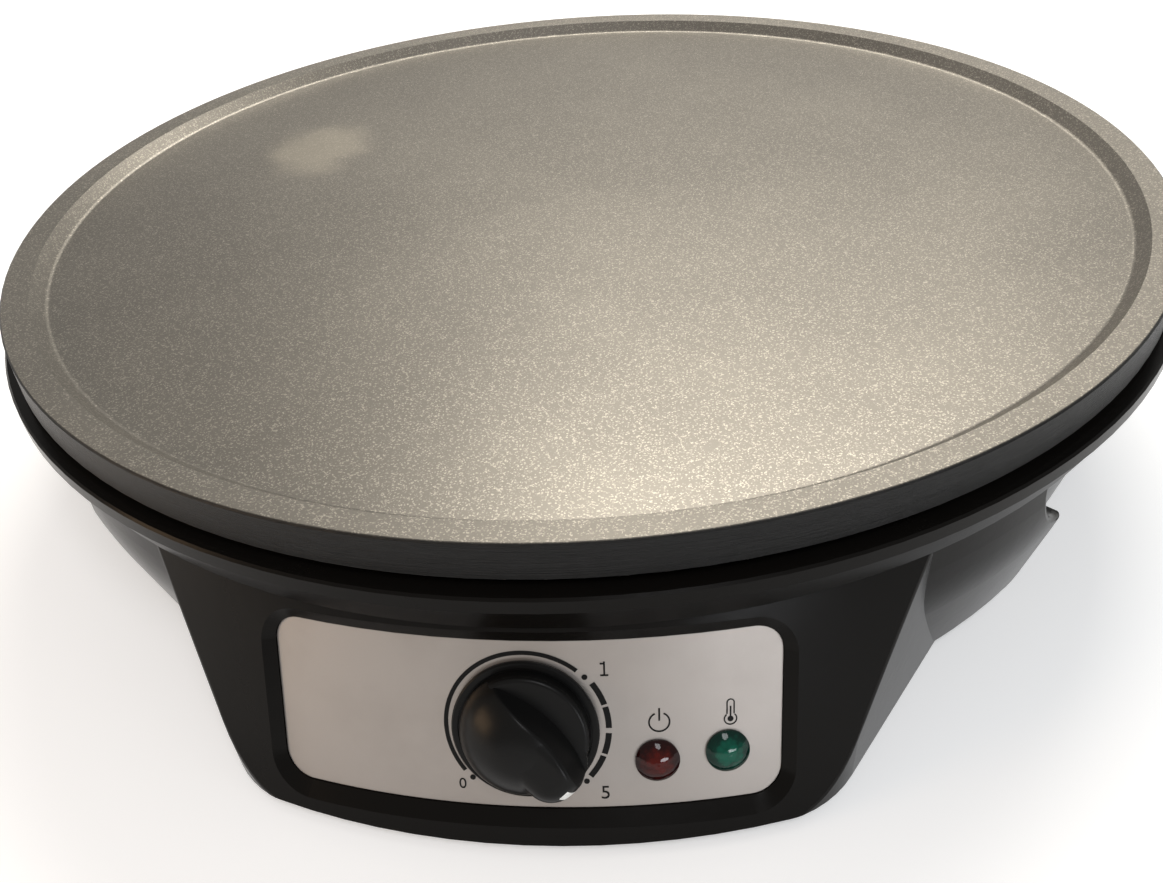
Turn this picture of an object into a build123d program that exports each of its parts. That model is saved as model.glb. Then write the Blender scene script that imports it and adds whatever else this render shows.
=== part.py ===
from build123d import *
from math import asin, atan, cos, degrees, hypot, radians, sin, tan
import os

# Electric crepe maker: a flat cast griddle on a low moulded base with one thermostat knob.
# Millimetres. +Z is up, the front faces -Y, and the origin is the centre of the cooking surface.

# Griddle plate and its ring heater
plate_radius = 152.5
surface_radius = 142.6
rim_inner_radius = 145.8
rim_inner_rise = 3.1
rim_rise = 3.7
plate_underside = -5.0
heater_radius = 95.0
heater_tube = 4.0
heater_height = -7.5
channel_gap = 0.3
ridge_width = 22.0
ridge_bottom = -11.5
leg_angle = 10.0
leg_bend = 6.0
leg_bottom = -24.0
terminal_bottom = -33.0
boss_bottom = -15.5
boss_radius = 7.0
boss_circle = 120.0
boss_angles = (90, 210, 330)
clip_angles = (30, 150, 270)
clip_screw_offset = 7.6

# Base shell
flange_radius = 155.1
flange_top = -7.0
lip_bottom = -10.4
band_top_radius = 153.0
band_bottom_radius = 151.3
band_bottom = -18.0
skirt_top_radius = 148.5
skirt_bottom_radius = 137.0
housing_bottom = -61.0
wall = 2.4
deck_top = -17.3
deck_thickness = 2.5
deck_opening = 102.0
shield_radius = 135.0
shield_thickness = 0.8
shield_rim = 4.0

# Front lobe: part of a cone about the plate's axis, closed by two upright side faces
lobe_tilt = 22.3
lobe_top_radius = 150.3
lobe_half_width = 59.6
lobe_side_spread = 0.6
lobe_side_draft = 1.8
lobe_wall = 2.6
lobe_corner_radius = 26.0
lobe_edge_radius = 1.5

# Side aprons: rounded wings that run back from the lobe and end before the open sides
apron_top_radius = 150.2
apron_waist_radius = 149.9
apron_waist = -33.0
apron_bottom_radius = 141.8
apron_inner_radius = 120.0
apron_angle = 40.3
apron_curve = 60.0
apron_corner = 4.0
apron_end_rounding = 1.2
scoop_radius = 18.0
scoop_angle = 38.5
scoop_height = -19.0

# Control panel in its recess
fascia_top_radius = 148.1
fascia_width = 99.2
fascia_length = 34.3
fascia_corner = 5.5
fascia_thickness = 0.8
fascia_height = -38.8
fascia_gap = 0.15
panel_draft = 11.0
bevel_width = 2.8
bevel_depth = 1.7
backing_depth = 2.1
pad_radius = 17.0
pad_depth = 4.2

# Knob, thermostat and lamps, placed by their distance across the panel and their height
knob_across = 1.0
knob_height = -39.3
pointer_angle = -45.0
knob_radius = 14.2
knob_lift = 0.4
flange_edge = 0.9
flange_face = 1.2
groove_width = 0.45
groove_floor = 0.8
body_radius = 12.5
rim_height = 2.2
dome_top = 10.3
shelf_height = 4.4
shelf_edge = 3.3
shelf_rounding = 0.9
nose_reach = 13.6
nose_top = 10.1
nose_left = -6.0
nose_right = 7.3
nose_rounding = 4.5
nose_blend = 2.5
flank_radius = 26.2
flank_centre = (0.6, -19.4)
flank_lean = 18.0
flank_rounding = 1.0
cavity_radius = 11.6
cavity_top = 1.8
hub_radius = 5.0
hub_lift = 1.0
shaft_radius = 3.0
shaft_flat = 2.2
shaft_reach = 9.0
spring_thickness = 0.4
running_gap = 0.05
bush_outer = 4.5
thermostat_depth = 18.4
thermostat_screw_offset = 8.6
power_across = 25.9
ready_across = 39.2
lamp_height = -46.5
lens_radius = 4.3
lens_stem = 3.6
lens_rise = 2.2
neon_radius = 2.4

# Underside: cover, feet and fasteners
table = -64.5
foot_radius = 8.0
foot_stem = 3.95
foot_circle = 118.0
foot_angles = (65, 115, 245, 295)
column_circle = 126.0
column_radius = 4.5
column_angles = (45, 135, 225, 315)
cover_thickness = 2.0
cover_gap = 0.4
fit_gap = 0.05
plate_screw = 2.0
small_screw = 1.5

# Services
cord_height = -40.0
cord_pad_face = 145.5
cord_pad_radius = 10.0
cord_pad_depth = 8.5
cord_bush_radius = 6.0
cord_bore = 3.6
bulb_y = -70.0
bulb_radius = 2.5
bulb_length = 50.0
tube_radius = 0.8
fuse_x = -62.0
fuse_y = 26.0
fuse_radius = 3.0
fuse_length = 22.0
block_centre = (38.0, 112.0)
block_size = (36.0, 18.0, 12.0)
pole_offsets = (-13.5, -4.5, 4.5, 13.5)
pole_height = -25.8
earth_point = (50.0, 50.0)
wire_radius = 1.3
lamp_wire_radius = 0.7

os.makedirs("parts", exist_ok=True)

slope = tan(radians(lobe_tilt))
deck_bottom = deck_top - deck_thickness
shield_top = deck_top + shield_thickness
cover_top = housing_bottom + cover_thickness
plate_hole = plate_screw + fit_gap
small_hole = small_screw + fit_gap


def save(piece, name):
    """Label a finished piece and write its file."""
    piece.part.label = name
    export_step(piece.part, f"parts/{name}.step")


def cone_radius(top_radius, height):
    """Radius at this height of a wall that flares out with the lobe."""
    return top_radius + (band_bottom - height) * slope


def on_lobe_face(edge):
    """Whether an edge's middle lies on the outer face of the lobe."""
    middle = edge @ 0.5
    return abs(hypot(middle.X, middle.Y) - cone_radius(lobe_top_radius, middle.Z)) < 0.1


def on_apron_end(edge):
    """Whether an edge's middle lies on the outer face of an apron, near its end."""
    middle = edge @ 0.5
    side_angle = degrees(asin(-middle.Y / hypot(middle.X, middle.Y)))
    outer = hypot(middle.X, middle.Y) > apron_bottom_radius - 1
    return outer and side_angle < apron_angle + 8 and middle.Z > housing_bottom + 1 and middle.Z < band_bottom - 1


def ring_points(radius, angles):
    """Points on a circle about the plate's axis."""
    return [(radius * cos(radians(a)), radius * sin(radians(a))) for a in angles]


def panel_plane(across, height):
    """Plane on the control panel: X across it, Y up its slope, Z straight out of it."""
    radius = cone_radius(fascia_top_radius, height)
    azimuth = asin(across / radius)
    lean = radians(lobe_tilt)
    outward = (sin(azimuth) * cos(lean), -cos(azimuth) * cos(lean), sin(lean))
    origin = (radius * sin(azimuth), -radius * cos(azimuth), height)
    return Plane(origin=origin, x_dir=(cos(azimuth), sin(azimuth), 0), z_dir=outward)


def radial_plane(angle):
    """Upright plane through the plate's axis: X outward at this angle, Y up."""
    turn = radians(angle)
    return Plane(origin=(0, 0, 0), x_dir=(cos(turn), sin(turn), 0), z_dir=(sin(turn), -cos(turn), 0))


def upright_plane(plane):
    """Plane through the given plane's axis: X as before, Y along its old Z."""
    return Plane(origin=plane.origin, x_dir=plane.x_dir, z_dir=-plane.y_dir)


def side_corners(inset):
    """Plan corners of the lobe between its two side faces, moved inward by inset."""
    front_y = -200.0
    back_y = -60.0
    edge_radius = cone_radius(lobe_top_radius, housing_bottom)
    edge_y = -edge_radius * cos(asin(lobe_half_width / edge_radius))
    half = lobe_half_width - inset / cos(atan(lobe_side_spread))
    front_x = half + (front_y - edge_y) * lobe_side_spread
    back_x = half + (back_y - edge_y) * lobe_side_spread
    return [(-front_x, front_y), (front_x, front_y), (back_x, back_y), (-back_x, back_y)]


def lobe_block(inset, top):
    """Solid lobe, shrunk by inset, from the base's bottom edge up to top."""
    height = top - housing_bottom
    bottom_radius = cone_radius(lobe_top_radius, housing_bottom) - inset
    with BuildPart() as block:
        with BuildSketch(Plane.XZ):
            with BuildLine():
                Polyline(
                    (0, top),
                    (cone_radius(lobe_top_radius, top) - inset, top),
                    (bottom_radius, housing_bottom),
                    (0, housing_bottom),
                    close=True,
                )
            make_face()
        revolve(axis=Axis.Z)
        with BuildSketch(Plane.XY.offset(housing_bottom)) as plan:
            with BuildLine():
                Polyline(*side_corners(inset), close=True)
            make_face()
            Circle(bottom_radius + 0.2, mode=Mode.INTERSECT)
            fillet(plan.vertices().group_by(Axis.Y)[0], lobe_corner_radius - inset)
        extrude(amount=height, taper=-lobe_side_draft, mode=Mode.INTERSECT)
    return block.part


def apron_block(inset, bottom, top):
    """Solid ring sector behind and beside the lobe, shrunk by inset, from bottom up to top."""
    end_angle = apron_angle + degrees(inset / apron_top_radius)
    with BuildPart() as block:
        with BuildSketch(radial_plane(180 + end_angle)) as section:
            with BuildLine():
                Polyline(
                    (apron_inner_radius, top),
                    (apron_top_radius - inset, top),
                    (apron_waist_radius - inset, apron_waist),
                    (apron_bottom_radius - inset, bottom),
                    (apron_inner_radius, bottom),
                    close=True,
                )
            make_face()
            fillet(section.vertices().group_by(Axis.Y)[1], apron_curve)
        revolve(axis=Axis.Z, revolution_arc=180 - 2 * end_angle)
        lower_ends = block.edges().filter_by(GeomType.LINE).group_by(Axis.Z)[0]
        fillet(lower_ends, apron_corner - inset)
        for turn in (radians(-scoop_angle), radians(scoop_angle - 180)):
            outward = (cos(turn), sin(turn), 0)
            with BuildSketch(Plane(origin=(0, 0, scoop_height), x_dir=(0, 0, 1), z_dir=outward)):
                Circle(scoop_radius + inset)
            extrude(amount=apron_top_radius + 5, mode=Mode.SUBTRACT)
    return block.part


def skirt_block(inset, top):
    """Solid tapered skirt, shrunk by inset, from the base's bottom edge up to top."""
    height = top - housing_bottom
    taper = (skirt_top_radius - skirt_bottom_radius) / (band_bottom - housing_bottom)
    bottom_radius = skirt_bottom_radius - inset
    with BuildPart() as block:
        with Locations((0, 0, housing_bottom + height / 2)):
            Cone(bottom_radius, bottom_radius + height * taper, height)
    return block.part


def panel_shell(inner_radius, outer_radius, width, length, corner):
    """Cone wall between two top radii, cut to a rounded rectangle seen from the front."""
    reach = 60.0
    lean = radians(panel_draft)
    centre = (0, -cone_radius(fascia_top_radius, fascia_height), fascia_height)
    face = Plane(origin=centre, x_dir=(1, 0, 0), z_dir=(0, -cos(lean), sin(lean)))
    with BuildPart() as shell:
        with BuildSketch(Plane.XZ):
            with BuildLine():
                Polyline(
                    (inner_radius, band_bottom),
                    (outer_radius, band_bottom),
                    (cone_radius(outer_radius, housing_bottom), housing_bottom),
                    (cone_radius(inner_radius, housing_bottom), housing_bottom),
                    close=True,
                )
            make_face()
        revolve(axis=Axis.Z)
        with BuildSketch(face.offset(-reach / 2)):
            RectangleRounded(width, length, corner)
        extrude(amount=reach, mode=Mode.INTERSECT)
    return shell.part


def pan_screw(shank_radius, length, head_radius, head_height):
    """Screw with its shank up from the origin and its pan head below, with a cross slot."""
    slot_width = head_radius * 0.26
    with BuildPart() as screw:
        with BuildSketch():
            Circle(shank_radius)
        extrude(amount=length)
        with BuildSketch():
            Circle(head_radius)
        extrude(amount=-head_height)
        rim = screw.edges().filter_by(GeomType.CIRCLE).sort_by(Axis.Z)[0]
        fillet(rim, head_height * 0.4)
        with BuildSketch(Plane.XY.offset(-head_height)):
            Rectangle(head_radius * 1.2, slot_width)
            Rectangle(slot_width, head_radius * 1.2)
        extrude(amount=head_height * 0.6, mode=Mode.SUBTRACT)
    return screw.part


def rod_strap(plane, rod_radius):
    """Bent strap that holds a rod against the plane's Y=0 seat, with a foot for one screw."""
    strap = 0.8
    gap = 0.3
    inner = rod_radius + gap
    outer = inner + strap
    with BuildPart() as clip:
        with BuildSketch(plane):
            with BuildLine():
                Polyline(
                    (inner, 0),
                    (inner + 9, 0),
                    (inner + 9, -strap),
                    (outer, -strap),
                    (outer, -2 * rod_radius - strap),
                    (-outer, -2 * rod_radius - strap),
                    (-outer, -rod_radius),
                    (-inner, -rod_radius),
                    (-inner, -2 * rod_radius),
                    (inner, -2 * rod_radius),
                    close=True,
                )
            make_face()
        extrude(amount=4, both=True)
        hole = Plane(
            origin=plane.from_local_coords((inner + 5, 0, 0)),
            x_dir=plane.x_dir,
            z_dir=plane.y_dir,
        )
        with Locations(hole):
            Hole(small_hole)
    return clip.part


def wire_run(points, radius, bend):
    """Round wire along straight runs joined by tangent arcs."""
    with BuildPart() as run:
        with BuildLine() as route:
            FilletPolyline(*points, radius=bend)
        start = Plane(origin=route.wire() @ 0, z_dir=route.wire() % 0)
        with BuildSketch(start):
            Circle(radius)
        sweep()
    return run.part


control = panel_plane(knob_across, knob_height)
power_plane = panel_plane(power_across, lamp_height)
ready_plane = panel_plane(ready_across, lamp_height)
lamp_planes = (power_plane, ready_plane)
bush_hole = bush_outer + fit_gap
stem_hole = lens_stem + fit_gap
thermostat_seats = [
    (-thermostat_screw_offset, 0),
    (thermostat_screw_offset, 0),
]

# Griddle plate: flat cooking surface inside a raised rim, heater channel and bosses below
with BuildPart() as griddle_plate:
    with BuildSketch(Plane.XZ) as plate_section:
        with BuildLine():
            Polyline(
                (0, 0),
                (surface_radius, 0),
                (rim_inner_radius, rim_inner_rise),
                (plate_radius, rim_rise),
                (plate_radius, plate_underside),
                (0, plate_underside),
                close=True,
            )
        make_face()
        rim_foot = plate_section.vertices().sort_by_distance((surface_radius, 0, 0))[0]
        fillet(rim_foot, 1.5)
        wall_ends = plate_section.vertices().group_by(Axis.X)[-1]
        chamfer(wall_ends, 0.5)
    revolve(axis=Axis.Z)
    with BuildSketch(Plane.XY.offset(ridge_bottom)):
        Circle(heater_radius + ridge_width / 2)
        Circle(heater_radius - ridge_width / 2, mode=Mode.SUBTRACT)
    extrude(until=Until.NEXT)
    channel_depth = heater_height - ridge_bottom
    with BuildSketch(Plane.XZ):
        with Locations((heater_radius, ridge_bottom + channel_depth / 2)):
            Rectangle(2 * (heater_tube + channel_gap), channel_depth)
        with Locations((heater_radius, heater_height)):
            Circle(heater_tube + channel_gap)
    revolve(axis=Axis.Z, mode=Mode.SUBTRACT)
    with BuildSketch(Plane.XY.offset(boss_bottom)):
        with Locations(*ring_points(boss_circle, boss_angles)):
            Circle(boss_radius)
    extrude(until=Until.NEXT)
    with BuildSketch(Plane.XY.offset(boss_bottom)):
        with Locations(*ring_points(boss_circle, boss_angles)):
            Circle(plate_hole)
    extrude(amount=10, mode=Mode.SUBTRACT)
    with BuildSketch(Plane.XY.offset(ridge_bottom)):
        for offset in (-clip_screw_offset, clip_screw_offset):
            with Locations(*ring_points(heater_radius + offset, clip_angles)):
                Circle(small_hole)
    extrude(amount=5.5, mode=Mode.SUBTRACT)
    with BuildSketch(Plane.XY.offset(plate_underside)):
        with Locations((0, bulb_y + bulb_radius + 5.3)):
            Circle(small_hole)
    extrude(amount=3, mode=Mode.SUBTRACT)
save(griddle_plate, "griddle_plate")

# Heating element: ring with two legs bent down through the shield, insulators and pins
leg_y = heater_radius * sin(radians(leg_angle)) - leg_bend * cos(radians(leg_angle))
leg_x = -heater_radius * cos(radians(leg_angle)) - leg_bend * sin(radians(leg_angle))
legs = [(leg_x, -leg_y), (leg_x, leg_y)]
with BuildPart() as heating_element:
    with BuildSketch(radial_plane(180 + leg_angle)):
        with Locations((heater_radius, heater_height)):
            Circle(heater_tube)
    revolve(axis=Axis.Z, revolution_arc=360 - 2 * leg_angle)
    for side in (-1, 1):
        end_angle = radians(180 - side * leg_angle)
        with BuildLine() as leg_line:
            FilletPolyline(
                (heater_radius * cos(end_angle), heater_radius * sin(end_angle), heater_height),
                (leg_x, side * leg_y, heater_height),
                (leg_x, side * leg_y, leg_bottom),
                radius=leg_bend - 0.01,
            )
        with BuildSketch(Plane(origin=leg_line.wire() @ 0, z_dir=leg_line.wire() % 0)):
            Circle(heater_tube)
        sweep(path=leg_line.wire())
save(heating_element, "heating_element")

with BuildPart() as element_insulators:
    with BuildSketch(Plane.XY.offset(leg_bottom)):
        with Locations(*legs):
            Circle(heater_tube - 0.6)
            Circle(1.2, mode=Mode.SUBTRACT)
    extrude(amount=-3)
save(element_insulators, "element_insulators")

with BuildPart() as element_terminals:
    with BuildSketch(Plane.XY.offset(leg_bottom)):
        with Locations(*legs):
            Circle(1.15)
    extrude(amount=terminal_bottom - leg_bottom)
save(element_terminals, "element_terminals")

with BuildPart() as element_clips:
    with BuildSketch(Plane.XY.offset(ridge_bottom)):
        with PolarLocations(heater_radius, len(clip_angles), start_angle=clip_angles[0]):
            Rectangle(20, 10)
        for offset in (-clip_screw_offset, clip_screw_offset):
            with Locations(*ring_points(heater_radius + offset, clip_angles)):
                Circle(small_hole, mode=Mode.SUBTRACT)
    extrude(amount=-1)
save(element_clips, "element_clips")

clip_screw = pan_screw(small_screw, 6, 2.7, 1.5)
with BuildPart() as element_clip_screws:
    for offset in (-clip_screw_offset, clip_screw_offset):
        with Locations(Plane.XY.offset(ridge_bottom - 1)):
            with Locations(*ring_points(heater_radius + offset, clip_angles)):
                add(clip_screw)
save(element_clip_screws, "element_clip_screws")

# Heat shield: steel dish on washers under the plate, open for the legs, tube and screws
with BuildPart() as heat_shield:
    with BuildSketch(Plane.XY.offset(deck_top)):
        Circle(shield_radius)
    extrude(amount=shield_rim + shield_thickness)
    with BuildSketch(Plane.XY.offset(shield_top)):
        Circle(shield_radius - shield_thickness)
    extrude(amount=shield_rim, mode=Mode.SUBTRACT)
    with BuildSketch(Plane.XY.offset(deck_top)):
        with Locations(*ring_points(boss_circle, boss_angles)):
            Circle(plate_hole)
        with Locations(*legs):
            Circle(heater_tube + 2.5)
        with Locations((bulb_length / 2 + 13, bulb_y)):
            Circle(4)
        with Locations(earth_point):
            Circle(plate_hole)
        with Locations((fuse_x + fuse_radius + 5.3, fuse_y)):
            Circle(small_hole)
    extrude(amount=shield_thickness, mode=Mode.SUBTRACT)
save(heat_shield, "heat_shield")

with BuildPart() as spacer_washers:
    with BuildSketch(Plane.XY.offset(shield_top)):
        with Locations(*ring_points(boss_circle, boss_angles)):
            Circle(boss_radius)
            Circle(plate_hole, mode=Mode.SUBTRACT)
    extrude(amount=boss_bottom - shield_top)
save(spacer_washers, "spacer_washers")

plate_fixing = pan_screw(plate_screw, 12, 4, 2.4)
with BuildPart() as plate_screws:
    with Locations(Plane.XY.offset(deck_bottom)):
        with Locations(*ring_points(boss_circle, boss_angles)):
            add(plate_fixing)
save(plate_screws, "plate_screws")

with BuildPart() as earth_screw:
    with Locations((*earth_point, deck_top)):
        add(pan_screw(plate_screw, 5, 3.4, 2.2))
save(earth_screw, "earth_screw")

# Sensing bulb under the plate, its strap, and the thin tube down to the thermostat
bulb_plane = Plane(origin=(0, bulb_y, plate_underside), x_dir=(0, 1, 0), z_dir=(1, 0, 0))
bulb_height = plate_underside - bulb_radius
bulb_end = bulb_length / 2
with BuildPart() as sensing_bulb:
    with Locations((0, bulb_y, bulb_height)):
        Cylinder(bulb_radius, bulb_length, rotation=(0, 90, 0))
    fillet(sensing_bulb.edges().filter_by(GeomType.CIRCLE), 0.8)
save(sensing_bulb, "sensing_bulb")

with BuildPart() as bulb_clip:
    add(rod_strap(bulb_plane, bulb_radius))
save(bulb_clip, "bulb_clip")

strap_screw = pan_screw(small_screw, 3.5, 2.7, 1.5)
with BuildPart() as bulb_clip_screw:
    with Locations((0, bulb_y + bulb_radius + 5.3, plate_underside - 0.8)):
        add(strap_screw)
save(bulb_clip_screw, "bulb_clip_screw")

tube_route = [
    (bulb_end, bulb_y, bulb_height),
    (bulb_end + 13, bulb_y, bulb_height),
    (bulb_end + 13, bulb_y, -34),
    control.from_local_coords((8, 8, -36)),
    control.from_local_coords((8, 8, -thermostat_depth)),
]
with BuildPart() as capillary_tube:
    add(wire_run(tube_route, tube_radius, 6))
save(capillary_tube, "capillary_tube")

# Thermal fuse strapped under the shield
fuse_plane = Plane(origin=(fuse_x, fuse_y, deck_top), x_dir=(1, 0, 0), z_dir=(0, -1, 0))
fuse_height = deck_top - fuse_radius
with BuildPart() as thermal_fuse:
    with Locations((fuse_x, fuse_y, fuse_height)):
        Cylinder(fuse_radius, fuse_length, rotation=(90, 0, 0))
    fillet(thermal_fuse.edges().filter_by(GeomType.CIRCLE), 0.8)
save(thermal_fuse, "thermal_fuse")

with BuildPart() as fuse_strap:
    add(rod_strap(fuse_plane, fuse_radius))
save(fuse_strap, "fuse_strap")

with BuildPart() as fuse_strap_screw:
    with Locations((fuse_x + fuse_radius + 5.3, fuse_y, deck_top - 0.8)):
        add(strap_screw)
save(fuse_strap_screw, "fuse_strap_screw")

# Housing: flange, lip, band, tapered skirt and the flared front lobe, open below
lobe_hollow = lobe_block(lobe_wall, deck_bottom)
skirt = skirt_block(0, band_bottom)
skirt_hollow = skirt_block(wall, deck_bottom)
aprons_hollow = apron_block(wall, housing_bottom + wall, deck_bottom)
panel_backing = panel_shell(
    fascia_top_radius - fascia_thickness - backing_depth,
    lobe_top_radius - wall,
    fascia_width + 8,
    fascia_length + 2,
    fascia_corner + 3,
)
panel_pocket = panel_shell(
    fascia_top_radius - fascia_thickness,
    lobe_top_radius + 5,
    fascia_width + 2 * fascia_gap,
    fascia_length + 2 * fascia_gap,
    fascia_corner + fascia_gap,
)
lip_inner = flange_radius - 2 * wall
cord_plane = Plane(origin=(0, cord_pad_face, cord_height), x_dir=(-1, 0, 0), z_dir=(0, 1, 0))
with BuildPart() as lobe:
    add(lobe_block(0, band_bottom))
    sloping_edges = lobe.edges().filter_by(on_lobe_face).filter_by(lambda e: e.bounding_box().size.Z > 2)
    fillet(sloping_edges, lobe_edge_radius)
with BuildPart() as aprons:
    add(apron_block(0, housing_bottom, band_bottom))
    end_edges = aprons.edges().filter_by(on_apron_end)
    fillet(end_edges, apron_end_rounding)
with BuildPart() as housing:
    add(skirt)
    add(aprons.part)
    add(lobe.part)
    add(skirt_hollow, mode=Mode.SUBTRACT)
    add(aprons_hollow, mode=Mode.SUBTRACT)
    add(lobe_hollow, mode=Mode.SUBTRACT)
    with BuildSketch(Plane.XY.offset(deck_bottom)):
        Circle(deck_opening)
    extrude(amount=deck_thickness, mode=Mode.SUBTRACT)
    with BuildSketch(Plane.XZ):
        with BuildLine():
            Polyline(
                (deck_opening, deck_bottom),
                (deck_opening, deck_top),
                (band_bottom_radius - wall, deck_top),
                (lip_inner, lip_bottom),
                (lip_inner, flange_top),
                (flange_radius - 0.5, flange_top),
                (flange_radius, flange_top - 0.5),
                (flange_radius, lip_bottom),
                (band_top_radius, lip_bottom - 0.6),
                (band_bottom_radius, band_bottom),
                (skirt_top_radius - 0.5, band_bottom - 0.6),
                (skirt_top_radius - 0.5, deck_bottom),
                close=True,
            )
        make_face()
    revolve(axis=Axis.Z)
    add(panel_backing)
    with BuildSketch(control.offset(-pad_depth)):
        Circle(pad_radius)
    extrude(amount=2)
    with BuildSketch(Plane.XY.offset(cover_top)):
        with Locations(*ring_points(column_circle, column_angles)):
            Circle(column_radius)
    extrude(until=Until.NEXT)
    with BuildSketch(cord_plane):
        Circle(cord_pad_radius)
    extrude(amount=-cord_pad_depth)
    add(panel_pocket, mode=Mode.SUBTRACT)
    pocket_mouth = housing.edges(Select.LAST).filter_by(on_lobe_face)
    below_panel = (0, -cone_radius(lobe_top_radius, housing_bottom + 1), housing_bottom + 1)
    lobe_face = housing.faces().filter_by(GeomType.CONE).sort_by_distance(below_panel)[0]
    chamfer(pocket_mouth, bevel_width, bevel_depth, reference=lobe_face)
    with BuildSketch(Plane.XY.offset(cover_top)):
        with Locations(*ring_points(column_circle, column_angles)):
            Circle(small_hole)
    extrude(amount=12, mode=Mode.SUBTRACT)
    with BuildSketch(Plane.XY.offset(deck_bottom)):
        with Locations(*ring_points(boss_circle, boss_angles)):
            Circle(plate_hole)
        with Locations((block_centre[0], block_centre[1] + 5.5)):
            Circle(small_hole)
    extrude(amount=deck_thickness, mode=Mode.SUBTRACT)
    with BuildSketch(cord_plane):
        Circle(cord_bush_radius + fit_gap)
    extrude(amount=-12, mode=Mode.SUBTRACT)
    with BuildSketch(control.offset(-pad_depth)):
        Circle(bush_hole)
        with Locations(*thermostat_seats):
            Circle(small_hole)
    extrude(amount=pad_depth, mode=Mode.SUBTRACT)
    for lamp_plane in lamp_planes:
        with BuildSketch(lamp_plane.offset(-pad_depth)):
            Circle(stem_hole)
        extrude(amount=pad_depth, mode=Mode.SUBTRACT)
save(housing, "housing")

# Fascia: thin silver panel in the recess
with BuildPart() as fascia:
    add(
        panel_shell(
            fascia_top_radius - fascia_thickness,
            fascia_top_radius,
            fascia_width,
            fascia_length,
            fascia_corner,
        )
    )
    with BuildSketch(control.offset(-2)):
        Circle(bush_hole)
        with Locations(*thermostat_seats):
            Circle(small_hole)
    extrude(amount=3, mode=Mode.SUBTRACT)
    with BuildSketch(control.offset(-0.45)):
        with Locations(*thermostat_seats):
            Circle(2.6)
    extrude(amount=1, mode=Mode.SUBTRACT)
    for lamp_plane in lamp_planes:
        with BuildSketch(lamp_plane.offset(-2)):
            Circle(stem_hole)
        extrude(amount=3, mode=Mode.SUBTRACT)
save(fascia, "fascia")

# Knob: thin flange and round body with one scooped side, a pointer mark and a shaft spring
pointer_turn = radians(pointer_angle)
pointer_dir = control.x_dir * cos(pointer_turn) + control.y_dir * sin(pointer_turn)
knob_plane = Plane(origin=control.origin, x_dir=pointer_dir, z_dir=control.z_dir)
knob_side = upright_plane(knob_plane)
knob_axis = Axis(knob_plane.origin, knob_plane.z_dir)
bore_top = shaft_reach + 0.5
spring_seat = shaft_flat + running_gap + spring_thickness + running_gap


def knob_edges(piece, places):
    """Edges of a piece that lie nearest to places given on the knob's plane."""
    targets = [knob_plane.from_local_coords(place) for place in places]
    return [piece.edges().sort_by_distance(target)[0] for target in targets]


with BuildPart() as nose:
    with BuildSketch(knob_plane.offset(flange_face)) as nose_plan:
        with Locations((nose_reach / 2, (nose_left + nose_right) / 2)):
            Rectangle(nose_reach, nose_right - nose_left)
        fillet(nose_plan.vertices().sort_by_distance((nose_reach, nose_left, 0))[0], 5.5)
        fillet(nose_plan.vertices().sort_by_distance((nose_reach, nose_right, 0))[0], 6.5)
    extrude(amount=nose_top - flange_face)
    nose_crown = nose.faces().sort_by_distance(knob_plane.from_local_coords((6, 0, nose_top)))[0]
    nose_back = knob_edges(nose, [(0, 0, nose_top)])[0]
    fillet([e for e in nose_crown.edges() if e != nose_back], nose_rounding)

with BuildPart() as grip:
    with BuildSketch(knob_side):
        with BuildLine():
            Polyline(
                (0, dome_top),
                (0, flange_face),
                (body_radius, flange_face),
                (body_radius, rim_height),
            )
            Spline(
                (body_radius, rim_height),
                (10.2, 6.3),
                (6, 9.3),
                (0, dome_top),
                tangents=((-0.3, 1), (-1, 0)),
            )
        make_face()
    revolve(axis=knob_axis)
    add(nose)
    with BuildSketch(knob_plane.offset(flange_face)):
        Circle(body_radius)
        with Locations((0, shelf_edge + knob_radius)):
            Rectangle(2 * knob_radius, 2 * knob_radius, mode=Mode.INTERSECT)
    extrude(amount=shelf_height - flange_face)
    with BuildSketch(knob_plane.offset(shelf_height)):
        with Locations((0, knob_radius)):
            Rectangle(3 * knob_radius, 2 * knob_radius)
        with Locations(flank_centre):
            Circle(flank_radius, mode=Mode.SUBTRACT)
    extrude(amount=dome_top, taper=-flank_lean, mode=Mode.SUBTRACT)
    fillet(knob_edges(grip, [(-0.4, body_radius, shelf_height)]), shelf_rounding)
    fillet(knob_edges(grip, [(6.1, -4.9, 7.6)]), nose_blend)
    fillet(knob_edges(grip, [(-5, 4.7, 8.9), (4.8, 4.7, 9.7), (11.3, 2.8, 9.3)]), flank_rounding)

with BuildPart() as pointer_slot:
    with BuildSketch(knob_plane.offset(6.2)):
        with Locations((13, -0.3)):
            Rectangle(2.8, 2.3)
    extrude(amount=4)

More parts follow.
